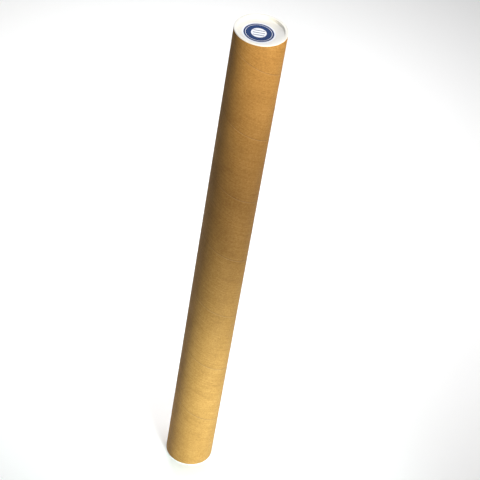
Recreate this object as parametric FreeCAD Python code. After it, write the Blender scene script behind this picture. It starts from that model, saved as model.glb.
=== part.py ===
import FreeCAD, Part
import math
import os

# Drawing tube, A0 size: a spiral-wound kraft board tube closed at each end by a push-in plastic cap.
# Millimetres. +Z runs up the tube. The origin is the centre of the face that the tube stands on.

os.makedirs("parts", exist_ok=True)

# --- Driving dimensions ---------------------------------------------------------------------------

TUBE_LENGTH = 900.0
TUBE_OUTER_RADIUS = 40.0

# Plies from the outside in: node name and paper thickness. They add up, with the glue, to a 2 mm wall.
PLIES = [
    ("outer_ply", 0.22),
    ("core_ply_1", 0.36),
    ("core_ply_2", 0.36),
    ("core_ply_3", 0.36),
    ("core_ply_4", 0.36),
    ("inner_ply", 0.24),
]
GLUE_FILM = 0.02
OUTER_STRIP_WIDTH = 110.0
BUTT_GAP = 0.6  # left between neighbouring turns of one strip, along the tube
FIRST_JOINT_DROP = 39.0  # from the tube's top to the outer ply's first joint, on the front line
FRONT_ANGLE = -math.pi / 2  # the front line faces -Y
JOINT_SHIFT = 0.38  # of a turn's height, from each ply's joint to that of the ply inside it

FLANGE_THICKNESS = 1.6
FLANGE_RADIUS = 40.0
PLUG_DEPTH = 22.0
PLUG_TOP_RADIUS = 37.8
PLUG_END_RADIUS = 36.9
PLUG_WALL = 1.4
RECESS_DEPTH = 5.0
RECESS_RADIUS = 35.5
RECESS_FLOOR_RADIUS = 35.1
CAP_FLOOR = 1.4

GRIP_RIB_COUNT = 16
GRIP_RIB_WIDTH = 1.2
GRIP_RIB_RADIUS = 37.95  # 0.05 clear of the bore, so that the cap slides
GRIP_RIB_TOP = -2.4  # from the flange's seat
GRIP_RIB_STRAIGHT_END = -14.0
GRIP_RIB_END = -18.5

GATE_RADIUS = 2.5
GATE_HEIGHT = 0.5

LABEL_RADIUS = 25.0
LABEL_THICKNESS = 0.12
LABEL_OFF_CENTRE = (-2.5, -2.5)  # stuck on by hand

# --- Worked out from them -------------------------------------------------------------------------

TURN = 2 * math.pi
TUBE_FOOT = FLANGE_THICKNESS
TUBE_TOP = TUBE_FOOT + TUBE_LENGTH
WINDING_ANGLE = math.asin(OUTER_STRIP_WIDTH / (TURN * TUBE_OUTER_RADIUS))
PITCH = OUTER_STRIP_WIDTH / math.cos(WINDING_ANGLE) + BUTT_GAP
FALL = PITCH / TURN  # height lost per radian: the winding is left-handed

RECESS_FLOOR_Z = FLANGE_THICKNESS - RECESS_DEPTH  # from the flange's seat

CENTRE = FreeCAD.Vector(0, 0, 0)
UP = FreeCAD.Vector(0, 0, 1)
ALONG_X = FreeCAD.Vector(1, 0, 0)


def save(shape, node):
    shape.exportStep(os.path.join("parts", node + ".step"))


# --- Plies ----------------------------------------------------------------------------------------


def wound_edge(cylinder, start, end):
    """A straight line between two (angle, height) points of the flat strip, wound onto a cylinder."""
    line = Part.Geom2d.Line2dSegment(FreeCAD.Base.Vector2d(*start), FreeCAD.Base.Vector2d(*end))
    return line.toShape(cylinder)


def wound_patch(radius, corners):
    """The patch of a cylinder between (angle, height) corners, and its edges in the corners' order."""
    cylinder = Part.Cylinder()
    cylinder.Radius = radius
    edges = [wound_edge(cylinder, a, b) for a, b in zip(corners, corners[1:] + corners[:1])]
    return Part.Face(cylinder, Part.Wire(edges)), edges


def ply_breaks(edge_height, turn_height):
    """Angles at which the strip's two edges meet the tube's ends, and each third of a turn between."""
    ends = []
    for end_height in (TUBE_TOP, TUBE_FOOT):
        ends.append((edge_height - end_height) / FALL)
        ends.append((edge_height + turn_height - end_height) / FALL)
    third = TURN / 3
    first = math.ceil(min(ends) / third)
    last = math.floor(max(ends) / third)
    thirds = [k * third for k in range(first, last + 1)]
    apart = [angle for angle in thirds if min(abs(angle - end) for end in ends) > 0.001]
    return sorted(ends + apart)


def ply(outer_radius, thickness, joint_height):
    """One paper strip wound round the tube, as a single solid with a butt gap between its turns.

    joint_height is where the middle of a butt gap crosses angle 0. The strip's edges fall as the angle
    grows, and both ends of the tube cut it square.
    """
    lower_edge = joint_height + BUTT_GAP / 2
    turn_height = PITCH - BUTT_GAP
    breaks = ply_breaks(lower_edge, turn_height)

    faces = []
    for start, end in zip(breaks, breaks[1:]):
        turns_before = TURN * math.floor((start + end) / 2 / TURN)
        low = [max(TUBE_FOOT, lower_edge - FALL * angle) for angle in (start, end)]
        high = [min(TUBE_TOP, lower_edge + turn_height - FALL * angle) for angle in (start, end)]
        left = start - turns_before
        right = end - turns_before
        round_patch = [(left, low[0]), (right, low[1]), (right, high[1]), (left, high[0])]
        corners = [c for i, c in enumerate(round_patch) if math.dist(c, round_patch[i - 1]) > 1e-6]
        outer_face, outer_edges = wound_patch(outer_radius, corners)
        inner_face, inner_edges = wound_patch(outer_radius - thickness, corners)
        faces += [outer_face, inner_face]
        for i, (outer_edge, inner_edge) in enumerate(zip(outer_edges, inner_edges)):
            runs_up_the_tube = abs(corners[i][0] - corners[(i + 1) % len(corners)][0]) < 1e-9
            if not runs_up_the_tube:
                faces.append(Part.makeRuledSurface(outer_edge, inner_edge))

    skin = Part.makeShell(faces)
    skin.sewShape()
    return Part.Solid(skin)


def make_plies():
    outer_radius = TUBE_OUTER_RADIUS
    joint_height = TUBE_TOP - FIRST_JOINT_DROP + FALL * FRONT_ANGLE
    for node, thickness in PLIES:
        save(ply(outer_radius, thickness, joint_height), node)
        outer_radius -= thickness + GLUE_FILM
        joint_height -= JOINT_SHIFT * PITCH
    return outer_radius + GLUE_FILM


# --- End caps -------------------------------------------------------------------------------------


def rounded_outline(corners):
    """A closed wire in the XZ plane through (x, z, radius) corners, each rounded to its radius."""
    points = [FreeCAD.Vector(x, 0, z) for x, z, _ in corners]
    pieces = []
    starts = []
    ends = []
    for i, corner in enumerate(points):
        before = (points[i - 1] - corner).normalize()
        after = (points[(i + 1) % len(points)] - corner).normalize()
        radius = corners[i][2]
        if radius == 0:
            starts.append(corner)
            ends.append(corner)
            pieces.append(None)
            continue
        half_angle = before.getAngle(after) / 2
        reach = radius / math.tan(half_angle)
        middle = (before + after).normalize()
        nearest = corner + middle * (radius / math.sin(half_angle) - radius)
        starts.append(corner + before * reach)
        ends.append(corner + after * reach)
        pieces.append(Part.Arc(starts[-1], nearest, ends[-1]).toShape())
    edges = []
    for i, arc in enumerate(pieces):
        if arc is not None:
            edges.append(arc)
        edges.append(Part.LineSegment(ends[i], starts[(i + 1) % len(points)]).toShape())
    return Part.Wire(edges)


def cap_body():
    """The moulded cap turned about its axis, with the flange's seat at z = 0 and the plug below it."""
    floor_underside = RECESS_FLOOR_Z - CAP_FLOOR
    outline = rounded_outline([
        (0, RECESS_FLOOR_Z, 0),
        (RECESS_FLOOR_RADIUS, RECESS_FLOOR_Z, 0.8),
        (RECESS_RADIUS, FLANGE_THICKNESS, 0.5),
        (FLANGE_RADIUS, FLANGE_THICKNESS, 0.7),
        (FLANGE_RADIUS, 0, 0.3),
        (PLUG_TOP_RADIUS, 0, 0),
        (PLUG_END_RADIUS, -PLUG_DEPTH, 0.6),
        (PLUG_END_RADIUS - PLUG_WALL, -PLUG_DEPTH, 0.4),
        (PLUG_TOP_RADIUS - PLUG_WALL, floor_underside, 0.8),
        (0, floor_underside, 0),
    ])
    return Part.Face(outline).revolve(CENTRE, UP, 360)


def grip_rib():
    """One upright friction rib, buried half-way into the plug's wall and sloped off at its lower end."""
    inside_top = PLUG_TOP_RADIUS - PLUG_WALL / 2
    inside_end = PLUG_END_RADIUS - PLUG_WALL / 2
    side = -GRIP_RIB_WIDTH / 2
    outline = Part.makePolygon([
        FreeCAD.Vector(inside_top, side, GRIP_RIB_TOP),
        FreeCAD.Vector(GRIP_RIB_RADIUS, side, GRIP_RIB_TOP),
        FreeCAD.Vector(GRIP_RIB_RADIUS, side, GRIP_RIB_STRAIGHT_END),
        FreeCAD.Vector(inside_end, side, GRIP_RIB_END),
        FreeCAD.Vector(inside_top, side, GRIP_RIB_TOP),
    ])
    return Part.Face(outline).extrude(FreeCAD.Vector(0, GRIP_RIB_WIDTH, 0))


def end_cap():
    """The whole cap: turned body, a ring of grip ribs, and the moulding gate's stub under the floor."""
    ribs = []
    for i in range(GRIP_RIB_COUNT):
        rib = grip_rib()
        rib.rotate(CENTRE, UP, 360 * (i + 0.5) / GRIP_RIB_COUNT)
        ribs.append(rib)
    floor_underside = RECESS_FLOOR_Z - CAP_FLOOR
    overlap = CAP_FLOOR / 2
    gate_end = FreeCAD.Vector(0, 0, floor_underside - GATE_HEIGHT)
    gate = Part.makeCylinder(GATE_RADIUS, GATE_HEIGHT + overlap, gate_end)
    return cap_body().fuse(ribs + [gate])


def make_caps():
    top_cap = end_cap()
    top_cap.translate(UP * TUBE_TOP)
    save(top_cap, "top_cap")

    bottom_cap = end_cap()
    bottom_cap.rotate(CENTRE, ALONG_X, 180)
    bottom_cap.translate(UP * TUBE_FOOT)
    save(bottom_cap, "bottom_cap")


# --- Label ----------------------------------------------------------------------------------------


def make_label():
    """Round paper sticker on the floor of the top cap's recess."""
    underside_centre = FreeCAD.Vector(*LABEL_OFF_CENTRE, TUBE_TOP + RECESS_FLOOR_Z)
    save(Part.makeCylinder(LABEL_RADIUS, LABEL_THICKNESS, underside_centre), "top_label")


bore_radius = make_plies()
make_caps()
make_label()
print("bore radius", round(bore_radius, 3), "turn height", round(PITCH, 2))
print("winding angle", round(math.degrees(WINDING_ANGLE), 2), "overall height", TUBE_TOP + FLANGE_THICKNESS)
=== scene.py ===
import math

import bmesh
import bpy
from mathutils import Matrix, Vector


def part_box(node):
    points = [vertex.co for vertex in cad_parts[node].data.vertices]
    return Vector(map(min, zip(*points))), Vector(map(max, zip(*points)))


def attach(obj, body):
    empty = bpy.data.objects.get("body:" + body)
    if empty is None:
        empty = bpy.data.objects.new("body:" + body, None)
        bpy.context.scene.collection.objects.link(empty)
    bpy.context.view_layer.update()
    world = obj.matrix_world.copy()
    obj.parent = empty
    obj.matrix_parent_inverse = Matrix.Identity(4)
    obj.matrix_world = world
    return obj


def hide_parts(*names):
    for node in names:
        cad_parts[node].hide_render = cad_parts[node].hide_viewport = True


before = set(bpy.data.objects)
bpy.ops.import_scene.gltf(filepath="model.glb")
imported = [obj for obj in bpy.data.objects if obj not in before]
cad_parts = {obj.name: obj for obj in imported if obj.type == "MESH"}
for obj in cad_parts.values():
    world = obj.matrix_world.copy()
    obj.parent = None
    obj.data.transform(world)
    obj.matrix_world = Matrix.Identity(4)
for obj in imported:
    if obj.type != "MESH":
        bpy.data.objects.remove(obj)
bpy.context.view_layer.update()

MM = 0.001


# --- Camera ---------------------------------------------------------------------------------------
# A long lens looks down on the standing tube from the front, rolled so that the tube leans to the
# right of the picture, foot at the lower left. It is placed from the top end of the board.

board_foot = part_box("outer_ply")[0].z
board_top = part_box("outer_ply")[1].z

CAMERA_DISTANCE = 2.2346
CAMERA_ABOVE_BOARD = 1.5515
CAMERA_DOWN = 0.7186
CAMERA_PAN = 0.0106
CAMERA_ROLL = 0.1780
LENS_MM = 140.57
SENSOR_MM = 36.0

camera = bpy.data.objects.new("camera", bpy.data.cameras.new("camera"))
camera.data.lens = LENS_MM
camera.data.sensor_width = SENSOR_MM
camera.data.clip_start = 0.05
camera.data.clip_end = 50.0
camera.matrix_world = (
    Matrix.Translation((0, -CAMERA_DISTANCE, board_top + CAMERA_ABOVE_BOARD))
    @ Matrix.Rotation(-CAMERA_PAN, 4, "Z")
    @ Matrix.Rotation(math.pi / 2 - CAMERA_DOWN, 4, "X")
    @ Matrix.Rotation(CAMERA_ROLL, 4, "Z")
)
bpy.context.scene.collection.objects.link(camera)
bpy.context.scene.camera = camera
bpy.context.scene.view_settings.view_transform = "Standard"
bpy.context.scene.view_settings.look = "None"


# --- Kraft paper ----------------------------------------------------------------------------------
# Every ply is unbleached paper: long fibres that lie mostly along the strip, cloudy formation, a few
# dark bark specks and a dull face. The strip's own map gives metres along it and across it.


class Signal:
    """One output of a material's nodes, so that sums on it can be written as they are read."""

    def __init__(self, finish, socket):
        self.finish = finish
        self.socket = socket

    def maths(self, operation, *others):
        values = dict(enumerate([self, *others]))
        return self.finish.add("ShaderNodeMath", {"operation": operation}, values)

    def __add__(self, other):
        return self.maths("ADD", other)

    def __sub__(self, other):
        return self.maths("SUBTRACT", other)

    def __rsub__(self, other):
        return self.finish.add("ShaderNodeMath", {"operation": "SUBTRACT"}, {0: other, 1: self})

    def __mul__(self, other):
        return self.maths("MULTIPLY", other)

    def __pow__(self, other):
        return self.maths("POWER", other)

    __radd__ = __add__
    __rmul__ = __mul__


class Finish:
    """A material built up from nodes, with the shader's own sockets set last."""

    def __init__(self, name):
        self.material = bpy.data.materials.new(name)
        self.material.use_nodes = True
        self.tree = self.material.node_tree
        self.tree.nodes.clear()
        self.output = self.tree.nodes.new("ShaderNodeOutputMaterial")

    def add(self, kind, settings, inputs, output=None):
        """A node of that kind, with its settings and then its sockets; gives back one of its outputs."""
        node = self.tree.nodes.new(kind)
        for name, value in settings.items():
            if name == "stops":
                elements = node.color_ramp.elements
                while len(elements) < len(value):
                    elements.new(1.0)
                for element, (position, colour) in zip(elements, value):
                    element.position = position
                    element.color = colour
            else:
                setattr(node, name, value)
        for key, value in inputs.items():
            found = [s for i, s in enumerate(node.inputs) if key in (i, s.name, s.identifier)]
            if isinstance(value, Signal):
                self.tree.links.new(value.socket, found[0])
            else:
                found[0].default_value = value
        outputs = [s for s in node.outputs if s.enabled]
        if output is not None:
            outputs = [s for s in node.outputs if output in (s.name, s.identifier)]
        return Signal(self, outputs[0])

    def noise(self, vector, scale, detail=2.0, roughness=0.5, distortion=0.0):
        sockets = {"Vector": vector, "Scale": scale, "Detail": detail, "Roughness": roughness,
                   "Distortion": distortion}
        return self.add("ShaderNodeTexNoise", {}, sockets, "Fac")

    def scaled(self, vector, factors):
        return self.add("ShaderNodeVectorMath", {"operation": "MULTIPLY"}, {0: vector, 1: factors})

    def ramp(self, value, low, high, bottom=0.0, top=1.0):
        """value, eased from bottom to top as it goes from low to high."""
        sockets = {"Value": value, "From Min": low, "From Max": high, "To Min": bottom, "To Max": top}
        return self.add("ShaderNodeMapRange", {"interpolation_type": "SMOOTHSTEP"}, sockets)

    def mix(self, factor, first, second):
        sockets = {"Factor_Float": factor, "A_Color": first, "B_Color": second}
        return self.add("ShaderNodeMix", {"data_type": "RGBA"}, sockets, "Result_Color")

    def bump(self, height, depth):
        return self.add("ShaderNodeBump", {}, {"Height": height, "Distance": depth, "Strength": 1.0})

    def finished(self, **sockets):
        named = {name.replace("_", " "): value for name, value in sockets.items()}
        shader = self.add("ShaderNodeBsdfPrincipled", {}, named, "BSDF")
        self.tree.links.new(shader.socket, self.output.inputs["Surface"])
        return self.material


def colour(red, green, blue):
    """An everyday 0 to 255 colour as the linear colour that a shader takes."""
    channels = [c / 255 for c in (red, green, blue)]
    linear = [c / 12.92 if c <= 0.04045 else ((c + 0.055) / 1.055) ** 2.4 for c in channels]
    return (*linear, 1.0)


STRIP_MAP = "strip"


def kraft(name, light, middle, dark, streaks, specks, strip_height):
    """Kraft paper between three tones; streaks and specks say how strong those are, 0 to 1."""
    bark_brown = colour(72, 46, 24)
    pale_edge_colour = colour(196, 156, 92)
    glue_stain = colour(112, 78, 38)
    line_start = 0.4 * MM
    stain_width = 1.6 * MM
    pale_edge_width = 2.4 * MM
    relief_depth = 0.10 * MM
    paper = Finish(name)
    place = paper.add("ShaderNodeTexCoord", {}, {}, "Object")
    strip = paper.add("ShaderNodeUVMap", {"uv_map": STRIP_MAP}, {})

    clouds = paper.noise(place, 22.0, 4.0, 0.55, 0.4)
    blotches = paper.noise(place, 330.0, 4.0, 0.65)
    long_streaks = paper.noise(paper.scaled(strip, (16.0, 420.0, 1.0)), 1.0, 3.0, 0.6, 0.4)
    fibres = paper.noise(paper.scaled(strip, (260.0, 3000.0, 1.0)), 1.0, 3.0, 0.65, 0.8)
    felt = paper.noise(place, 1500.0, 3.0, 0.7)

    marks = [(0.16, clouds), (0.26, blotches), (0.18 * streaks, long_streaks), (0.24, fibres), (0.12, felt)]
    tone = sum(weight * mark for weight, mark in marks)
    tone_middle = sum(weight for weight, _ in marks) / 2
    tone_reach = 0.13
    shade = paper.ramp(tone, tone_middle - tone_reach, tone_middle + tone_reach)
    stops = [(0.0, dark), (0.5, middle), (1.0, light)]
    face = paper.add("ShaderNodeValToRGB", {"stops": stops}, {"Fac": shade}, "Color")

    speck_cells = paper.add("ShaderNodeTexVoronoi", {}, {"Vector": place, "Scale": 420.0}, "Distance")
    speck_field = paper.noise(place, 260.0, 1.0)
    bark = (1 - paper.ramp(speck_cells, 0.06, 0.20)) * paper.ramp(speck_field, 0.60, 0.70)
    face = paper.mix(specks * bark, face, bark_brown)

    across = paper.add("ShaderNodeSeparateXYZ", {}, {"Vector": strip}, "Y")
    glue_line = 1 - paper.ramp(across, line_start, stain_width)
    face = paper.mix(0.45 * glue_line, face, glue_stain)
    # A paler band along each strip's upper edge, just below the joint.
    pale_edge_band = 1 - paper.ramp(strip_height - across, line_start, pale_edge_width)
    face = paper.mix(0.20 * pale_edge_band, face, pale_edge_colour)

    relief = 0.5 * fibres + 0.3 * felt + 0.4 * blotches
    normal = paper.bump(relief, relief_depth)
    roughness = 0.60 + 0.14 * fibres + 0.06 * clouds
    return paper.finished(Base_Color=face, Roughness=roughness, Normal=normal, Specular_IOR_Level=0.20)


# --- Plies ----------------------------------------------------------------------------------------
# Six paper strips are glued and wound left-handed on a mandrel, one over another, each with its butt
# joint a little further round, and the finished tube is cut off square at both ends.

STRIP_WIDTH = 110 * MM
BUTT_GAP = 0.6 * MM
GLUE_FILM = 0.02 * MM
FIRST_JOINT_DROP = 39 * MM  # from the top end to the outer strip's joint, on the front line
JOINT_SHIFT = 0.38
STEPS_A_TURN = 128
CUT_ROUNDING = 0.04 * MM
SHARP_DEGREES = 35.0
SAME_POINT = 1e-6  # points closer than this are one

FULL_TURN = 2 * math.pi
tube_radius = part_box("outer_ply")[1].x
winding_angle = math.asin(STRIP_WIDTH / (FULL_TURN * tube_radius))
pitch = STRIP_WIDTH / math.cos(winding_angle) + BUTT_GAP
strip_height = pitch - BUTT_GAP
fall = pitch / FULL_TURN


def new_piece(name, shape, material):
    """A finished mesh piece from a bmesh, smooth but for its sharp edges."""
    mesh = bpy.data.meshes.new(name)
    shape.to_mesh(mesh)
    shape.free()
    mesh.shade_smooth()
    mesh.set_sharp_from_angle(angle=math.radians(SHARP_DEGREES))
    mesh.materials.append(material)
    piece = bpy.data.objects.new(name, mesh)
    bpy.context.scene.collection.objects.link(piece)
    return piece


def cut_square(shape, height, side):
    """Cuts the winding off square at a height, keeps the far side, and closes the cut."""
    geometry = shape.verts[:] + shape.edges[:] + shape.faces[:]
    cut = bmesh.ops.bisect_plane(shape, geom=geometry, dist=1e-7, plane_co=(0, 0, height),
                                 plane_no=(0, 0, side), clear_outer=True)
    rim = [e for e in cut["geom_cut"] if isinstance(e, bmesh.types.BMEdge)]
    face = bmesh.ops.contextual_create(shape, geom=rim)["faces"]
    rim = list({edge for f in face for edge in f.edges})
    bmesh.ops.bevel(shape, geom=rim, offset=CUT_ROUNDING, offset_type="OFFSET", segments=2, profile=0.5,
                    affect="EDGES", clamp_overlap=True, material=-1)


def lay_strip_map(shape, lower_edge):
    """Writes the strip's map: metres along the strip, and across it from its lower edge."""
    layer = shape.loops.layers.uv.new(STRIP_MAP)
    for face in shape.faces:
        middle = face.calc_center_median()
        middle_angle = math.atan2(middle.y, middle.x)
        turns = math.ceil((lower_edge - middle.z - fall * middle_angle) / pitch - 1e-6)
        for loop in face.loops:
            corner = loop.vert.co
            angle = math.atan2(corner.y, corner.x)
            angle += FULL_TURN * round((middle_angle - angle) / FULL_TURN)
            wound = angle + FULL_TURN * turns
            above_edge = corner.z - lower_edge + fall * wound
            run = tube_radius * wound / math.cos(winding_angle)
            loop[layer].uv = (run - above_edge * math.sin(winding_angle), above_edge)


def wind(name, radius, thickness, joint_height, face_profile, material):
    """Winds one strip. face_profile lists the outer face's points, as height up the strip and depth."""
    turns_above = math.ceil((board_top - joint_height) / pitch)
    first_edge = joint_height + BUTT_GAP / 2 + turns_above * pitch
    turns = math.ceil((first_edge + strip_height - board_foot) / pitch)

    shape = bmesh.new()
    section = [(radius - depth, first_edge + height) for height, depth in face_profile]
    section += [(radius - thickness, first_edge + strip_height), (radius - thickness, first_edge)]
    ring = [shape.verts.new((x, 0, z)) for x, z in section]
    edges = [shape.edges.new((a, b)) for a, b in zip(ring, ring[1:] + ring[:1])]
    bmesh.ops.spin(shape, geom=ring + edges, cent=(0, 0, 0), axis=(0, 0, 1), angle=FULL_TURN,
                   dvec=(0, 0, -pitch / STEPS_A_TURN), steps=STEPS_A_TURN)
    first_turn = shape.verts[:] + shape.edges[:] + shape.faces[:]
    for turn in range(1, turns):
        copied = bmesh.ops.duplicate(shape, geom=first_turn)["geom"]
        moved = [g for g in copied if isinstance(g, bmesh.types.BMVert)]
        bmesh.ops.translate(shape, verts=moved, vec=(0, 0, -pitch * turn))
    bmesh.ops.remove_doubles(shape, verts=shape.verts, dist=SAME_POINT)
    bmesh.ops.recalc_face_normals(shape, faces=shape.faces)
    cut_square(shape, board_top, 1)
    cut_square(shape, board_foot, -1)
    bmesh.ops.recalc_face_normals(shape, faces=shape.faces)
    lay_strip_map(shape, joint_height + BUTT_GAP / 2)
    return new_piece(name, shape, material)


EDGE_ROUNDING = 0.05 * MM
CREASE_HALF_WIDTH = 0.9 * MM
# Where the joints of the plies beneath show through the outer strip: height up the strip and depth.
CREASES = [(5.0 * MM, 0.035 * MM), ((1 - JOINT_SHIFT) * pitch, 0.05 * MM),
           ((1 - 2 * JOINT_SHIFT) * pitch, 0.03 * MM), (strip_height - 3.5 * MM, 0.03 * MM)]

plain_profile = [(0.0, EDGE_ROUNDING), (EDGE_ROUNDING, 0.0),
                 (strip_height - EDGE_ROUNDING, 0.0), (strip_height, EDGE_ROUNDING)]
creased_profile = plain_profile[:2]
for crease_height, crease_depth in sorted(CREASES):
    creased_profile += [(crease_height - CREASE_HALF_WIDTH, 0.0), (crease_height, crease_depth),
                        (crease_height + CREASE_HALF_WIDTH, 0.0)]
creased_profile += plain_profile[2:]

outer_kraft = kraft("outer_kraft", colour(174, 132, 72), colour(154, 114, 57), colour(133, 95, 44),
                    streaks=1.0, specks=0.5, strip_height=strip_height)
core_kraft = kraft("core_kraft", colour(150, 122, 88), colour(134, 106, 74), colour(116, 90, 60),
                   streaks=0.3, specks=0.9, strip_height=strip_height)
inner_kraft = kraft("inner_kraft", colour(180, 144, 92), colour(166, 130, 80), colour(150, 114, 68),
                    streaks=0.6, specks=0.6, strip_height=strip_height)

PLIES = [
    ("outer_ply", 0.22 * MM, "outer_kraft_strip", outer_kraft, "kraft_outer"),
    ("core_ply_1", 0.36 * MM, "core_strip_1", core_kraft, "kraft_core"),
    ("core_ply_2", 0.36 * MM, "core_strip_2", core_kraft, "kraft_core"),
    ("core_ply_3", 0.36 * MM, "core_strip_3", core_kraft, "kraft_core"),
    ("core_ply_4", 0.36 * MM, "core_strip_4", core_kraft, "kraft_core"),
    ("inner_ply", 0.24 * MM, "liner_strip", inner_kraft, "kraft_inner"),
]
ply_radius = tube_radius
ply_joint = board_top - FIRST_JOINT_DROP - fall * math.pi / 2
for node, thickness, piece_name, paper, slot in PLIES:
    profile = creased_profile if node == "outer_ply" else plain_profile
    strip = wind(piece_name, ply_radius, thickness, ply_joint, profile, paper)
    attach(strip, "tube")
    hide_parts(node)
    ply_radius -= thickness + GLUE_FILM
    ply_joint -= JOINT_SHIFT * pitch


# --- End caps -------------------------------------------------------------------------------------
# Two of one moulding in white low-density polythene: a flush flange round a shallow recess, and a
# tapered plug with upright ribs that grip the bore. The moulding gate's stub is under the floor.

FLANGE = board_foot  # the bottom cap's flange fills the height under the board
RECESS_RADIUS = 35.5 * MM
RECESS_FLOOR_RADIUS = 35.1 * MM
FLOOR = 1.4 * MM
PLUG_DEPTH = 22.0 * MM
PLUG_TOP_RADIUS = 37.8 * MM
PLUG_END_RADIUS = 36.9 * MM
PLUG_WALL = 1.4 * MM
RIBS = 16
RIB_RADIUS = 37.95 * MM
RIB_TOP = -2.4 * MM
RIB_STRAIGHT_END = -14.0 * MM
RIB_END = -18.5 * MM
GATE_RADIUS = 2.5 * MM
GATE_HEIGHT = 0.5 * MM
CAP_STEPS = 192

recess_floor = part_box("top_label")[0].z - board_top
underside = recess_floor - FLOOR


def plug_radius(height):
    return PLUG_TOP_RADIUS + (PLUG_TOP_RADIUS - PLUG_END_RADIUS) * height / PLUG_DEPTH


def moulded_cap():
    """The cap's mesh, with the flange's seat at height 0 and the plug below it."""
    shape = bmesh.new()
    corners = [
        (0.0, recess_floor),
        (RECESS_FLOOR_RADIUS, recess_floor),
        (RECESS_RADIUS, FLANGE),
        (tube_radius, FLANGE),
        (tube_radius, 0.0),
        (PLUG_TOP_RADIUS, 0.0),
        (plug_radius(RIB_TOP), RIB_TOP),
        (plug_radius(RIB_STRAIGHT_END), RIB_STRAIGHT_END),
        (plug_radius(RIB_END), RIB_END),
        (PLUG_END_RADIUS, -PLUG_DEPTH),
        (PLUG_END_RADIUS - PLUG_WALL, -PLUG_DEPTH),
        (PLUG_TOP_RADIUS - PLUG_WALL, underside),
        (GATE_RADIUS, underside),
        (GATE_RADIUS, underside - GATE_HEIGHT),
        (0.0, underside - GATE_HEIGHT),
    ]
    outline = [shape.verts.new((x, 0, z)) for x, z in corners]
    edges = [shape.edges.new(pair) for pair in zip(outline, outline[1:])]
    bmesh.ops.spin(shape, geom=outline + edges, cent=(0, 0, 0), axis=(0, 0, 1), angle=FULL_TURN,
                   steps=CAP_STEPS, use_merge=True)
    bmesh.ops.remove_doubles(shape, verts=shape.verts, dist=SAME_POINT)
    bmesh.ops.recalc_face_normals(shape, faces=shape.faces)

    raise_grip_ribs(shape)

    roundings = [
        (RECESS_FLOOR_RADIUS, recess_floor, 0.8 * MM),
        (RECESS_RADIUS, FLANGE, 0.5 * MM),
        (tube_radius, FLANGE, 0.7 * MM),
        (tube_radius, 0.0, 0.3 * MM),
        (PLUG_END_RADIUS, -PLUG_DEPTH, 0.6 * MM),
        (PLUG_END_RADIUS - PLUG_WALL, -PLUG_DEPTH, 0.4 * MM),
        (PLUG_TOP_RADIUS - PLUG_WALL, underside, 0.8 * MM),
        (GATE_RADIUS, underside - GATE_HEIGHT, 0.15 * MM),
    ]
    for radius, height, rounding in roundings:
        ring = [e for e in shape.edges if all(on_ring(v.co, radius, height) for v in e.verts)]
        bmesh.ops.bevel(shape, geom=ring, offset=rounding, offset_type="OFFSET", segments=5, profile=0.5,
                        affect="EDGES", clamp_overlap=True, material=-1)
    return shape


def on_ring(point, radius, height):
    return abs(point.z - height) < SAME_POINT and abs(point.xy.length - radius) < SAME_POINT


def raise_grip_ribs(shape):
    """Pulls one face in twelve round the plug out to the grip radius, sloped off at the lower end."""
    step = FULL_TURN / CAP_STEPS
    picked = []
    for face in shape.faces:
        middle = face.calc_center_median()
        if not (RIB_END < middle.z < RIB_TOP) or middle.xy.length < plug_radius(middle.z) - 0.2 * MM:
            continue
        column = round((math.atan2(middle.y, middle.x) - step / 2) / step) % CAP_STEPS
        if column % (CAP_STEPS // RIBS) == CAP_STEPS // RIBS // 2:
            picked.append(face)
    raised = bmesh.ops.extrude_face_region(shape, geom=picked)["geom"]
    bmesh.ops.delete(shape, geom=picked, context="FACES")
    for vert in [g for g in raised if isinstance(g, bmesh.types.BMVert)]:
        if vert.co.z > RIB_END + SAME_POINT:
            vert.co.xy *= RIB_RADIUS / vert.co.xy.length
    bmesh.ops.remove_doubles(shape, verts=shape.verts, dist=SAME_POINT)


def polythene(name):
    """White polythene: waxy and slightly glossy, dulled by fine scuffs where it is handled."""
    relief_depth = 0.04 * MM
    plastic = Finish(name)
    place = plastic.add("ShaderNodeTexCoord", {}, {}, "Object")
    clouds = plastic.noise(place, 60.0, 3.0)
    grain = plastic.noise(place, 900.0, 2.0)
    scratch_field = plastic.noise(plastic.scaled(place, (1.0, 0.12, 1.0)), 900.0, 2.0, 0.6, 1.5)
    scratches = plastic.ramp(scratch_field, 0.60, 0.72) * plastic.ramp(clouds, 0.45, 0.65)
    face = plastic.mix(plastic.ramp(clouds, 0.3, 0.7), colour(228, 227, 224), colour(222, 221, 217))
    face = plastic.mix(0.3 * scratches, face, colour(206, 205, 201))
    roughness = 0.34 + 0.10 * clouds + 0.06 * grain + 0.15 * scratches
    normal = plastic.bump(0.7 * grain + 0.3 * clouds - 0.5 * scratches, relief_depth)
    return plastic.finished(Base_Color=face, Roughness=roughness, Normal=normal,
                            Specular_IOR_Level=0.45)


cap_plastic = polythene("white_polythene")

top_shape = moulded_cap()
bmesh.ops.translate(top_shape, verts=top_shape.verts, vec=(0, 0, board_top))
top_cap = new_piece("top_end_cap", top_shape, cap_plastic)
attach(top_cap, "top_plug")
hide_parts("top_cap")

bottom_shape = moulded_cap()
bmesh.ops.rotate(bottom_shape, verts=bottom_shape.verts, cent=(0, 0, 0),
                 matrix=Matrix.Rotation(math.pi, 3, "X"))
bmesh.ops.translate(bottom_shape, verts=bottom_shape.verts, vec=(0, 0, board_foot))
bottom_cap = new_piece("bottom_end_cap", bottom_shape, cap_plastic)
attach(bottom_cap, "bottom_plug")
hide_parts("bottom_cap")


# --- Label ----------------------------------------------------------------------------------------
# A flat round sticker of white paper on the floor of the top cap's recess, a little off the middle.
# It is printed with a plain blue ring round three ruled lines to write on.

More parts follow.
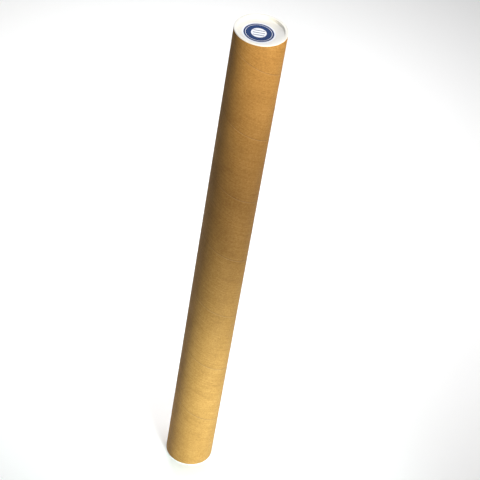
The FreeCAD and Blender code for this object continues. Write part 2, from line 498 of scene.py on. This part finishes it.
LABEL_THICKNESS = 0.12 * MM
RING_OUTER = 22.5 * MM
RING_INNER = 11.5 * MM
HAIRLINE_RADIUS = 19.6 * MM
HAIRLINE_HALF = 0.3 * MM
RULE_SPACING = 5.6 * MM
RULE_HALF = 0.65 * MM
RULE_REACH = 9.0 * MM
PRINT_EDGE = 0.12 * MM

label_low, label_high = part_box("top_label")
label_radius = (label_high.x - label_low.x) / 2
label_centre = (label_low + label_high) / 2


def label_print(name):
    """White paper with a plain blue ring round three ruled lines, all measured from the label's middle."""
    rule_clearance = 1.5 * MM
    relief_depth = 0.03 * MM
    sticker = Finish(name)
    place = sticker.add("ShaderNodeTexCoord", {}, {}, "Object")
    place = sticker.add("ShaderNodeVectorMath", {"operation": "SUBTRACT"}, {0: place, 1: label_centre})
    across = sticker.add("ShaderNodeSeparateXYZ", {}, {"Vector": place}, "X")
    along = sticker.add("ShaderNodeSeparateXYZ", {}, {"Vector": place}, "Y")
    radius = (across * across + along * along) ** 0.5

    ring = (sticker.ramp(radius, RING_INNER - PRINT_EDGE, RING_INNER + PRINT_EDGE)
            * (1 - sticker.ramp(radius, RING_OUTER - PRINT_EDGE, RING_OUTER + PRINT_EDGE)))
    off_hairline = (radius - HAIRLINE_RADIUS).maths("ABSOLUTE")
    ring = ring * sticker.ramp(off_hairline, HAIRLINE_HALF - PRINT_EDGE, HAIRLINE_HALF + PRINT_EDGE)
    off_rule = along.maths("PINGPONG", RULE_SPACING / 2)
    rules = ((1 - sticker.ramp(off_rule, RULE_HALF - PRINT_EDGE, RULE_HALF + PRINT_EDGE))
             * (1 - sticker.ramp(along.maths("ABSOLUTE"), 1.2 * RULE_SPACING, 1.25 * RULE_SPACING))
             * (1 - sticker.ramp(across.maths("ABSOLUTE"), RULE_REACH, RULE_REACH + PRINT_EDGE))
             * (1 - sticker.ramp(radius, RING_INNER - rule_clearance,
                                 RING_INNER - rule_clearance + 0.2 * MM)))
    ink = ring.maths("MAXIMUM", rules)

    tooth = sticker.noise(place, 2200.0, 2.0)
    ink_cover = sticker.ramp(sticker.noise(place, 700.0, 3.0, 0.6), 0.1, 0.5, 0.97, 1.0)
    paper_tone = sticker.mix(tooth, colour(232, 236, 244), colour(226, 230, 239))
    face = sticker.mix(ink * ink_cover, paper_tone, colour(4, 48, 104))
    roughness = 0.52 - 0.14 * ink + 0.06 * tooth
    normal = sticker.bump(tooth, relief_depth)
    return sticker.finished(Base_Color=face, Roughness=roughness, Normal=normal, Specular_IOR_Level=0.12)


label_shape = bmesh.new()
label_rings = [label_radius * share for share in (0.0, 0.3, 0.6, 0.85, 0.95, 1.0)]
label_line = [label_shape.verts.new((x, 0, label_low.z + LABEL_THICKNESS)) for x in label_rings]
label_edges = [label_shape.edges.new(pair) for pair in zip(label_line, label_line[1:])]
bmesh.ops.spin(label_shape, geom=label_line + label_edges, cent=(0, 0, 0), axis=(0, 0, 1),
               angle=FULL_TURN, steps=CAP_STEPS, use_merge=True)
bmesh.ops.remove_doubles(label_shape, verts=label_shape.verts, dist=SAME_POINT)
bmesh.ops.recalc_face_normals(label_shape, faces=label_shape.faces)
bmesh.ops.solidify(label_shape, geom=label_shape.faces[:], thickness=LABEL_THICKNESS)
bmesh.ops.translate(label_shape, verts=label_shape.verts, vec=(label_centre.x, label_centre.y, 0))
bmesh.ops.recalc_face_normals(label_shape, faces=label_shape.faces)
label = new_piece("round_label", label_shape, label_print("label_print"))
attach(label, "top_plug")
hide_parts("top_label")


# --- Floor and light ------------------------------------------------------------------------------
# A plain white floor under five soft boxes: one overhead for the floor and the cap, two warm ones on the
# right for the upper half, a small low one at the foot, and one behind for the far side.

FLOOR_HALF = 8.0

white = Finish("white_floor")
floor_shape = bmesh.new()
bmesh.ops.create_grid(floor_shape, x_segments=1, y_segments=1, size=FLOOR_HALF)
floor_finish = white.finished(Base_Color=colour(250, 250, 250), Roughness=0.9, Specular_IOR_Level=0.1)
floor = new_piece("floor", floor_shape, floor_finish)


def soft_box(name, place, aim, size, power, spread_degrees, tint):
    """An area lamp at a place, aimed at a point; its spread says how wide the light fans out."""
    lamp = bpy.data.objects.new(name, bpy.data.lights.new(name, "AREA"))
    lamp.data.shape = "RECTANGLE"
    lamp.data.size, lamp.data.size_y = size
    lamp.data.energy = power
    lamp.data.spread = math.radians(spread_degrees)
    lamp.data.color = tint
    lamp.visible_camera = False
    direction = Vector(aim) - Vector(place)
    lamp.matrix_world = Matrix.Translation(place) @ direction.to_track_quat("-Z", "Y").to_matrix().to_4x4()
    bpy.context.scene.collection.objects.link(lamp)


WHITE_LIGHT = (1.0, 1.0, 1.0)
DAYLIGHT = 0.21

soft_box("overhead", (0.0, 0.8, 3.0), (0.0, 0.8, 0), (1.6, 1.7), 10.8, 50, WHITE_LIGHT)
soft_box("warm_key", (0.95, -1.7, 1.3), (0, 0, 0.98), (1.0, 0.3), 1.75, 17, (1.0, 0.91, 0.71))
soft_box("warm_fill", (1.5, -1.6, 0.95), (0, 0, 0.75), (0.6, 0.4), 1.15, 30, (1.0, 0.92, 0.78))
soft_box("foot_light", (0.45, -0.70, 0.24), (0, 0, 0.09), (0.3, 0.3), 2.0, 60, (0.84, 1.0, 0.97))
soft_box("back_fill", (-0.5, 2.4, 1.4), (0, 0, 0.45), (1.0, 0.8), 4.2, 60, WHITE_LIGHT)

world = bpy.data.worlds.new("studio")
world.use_nodes = True
backdrop = world.node_tree.nodes["Background"]
backdrop.inputs["Color"].default_value = (*WHITE_LIGHT, 1.0)
backdrop.inputs["Strength"].default_value = DAYLIGHT
bpy.context.scene.world = world
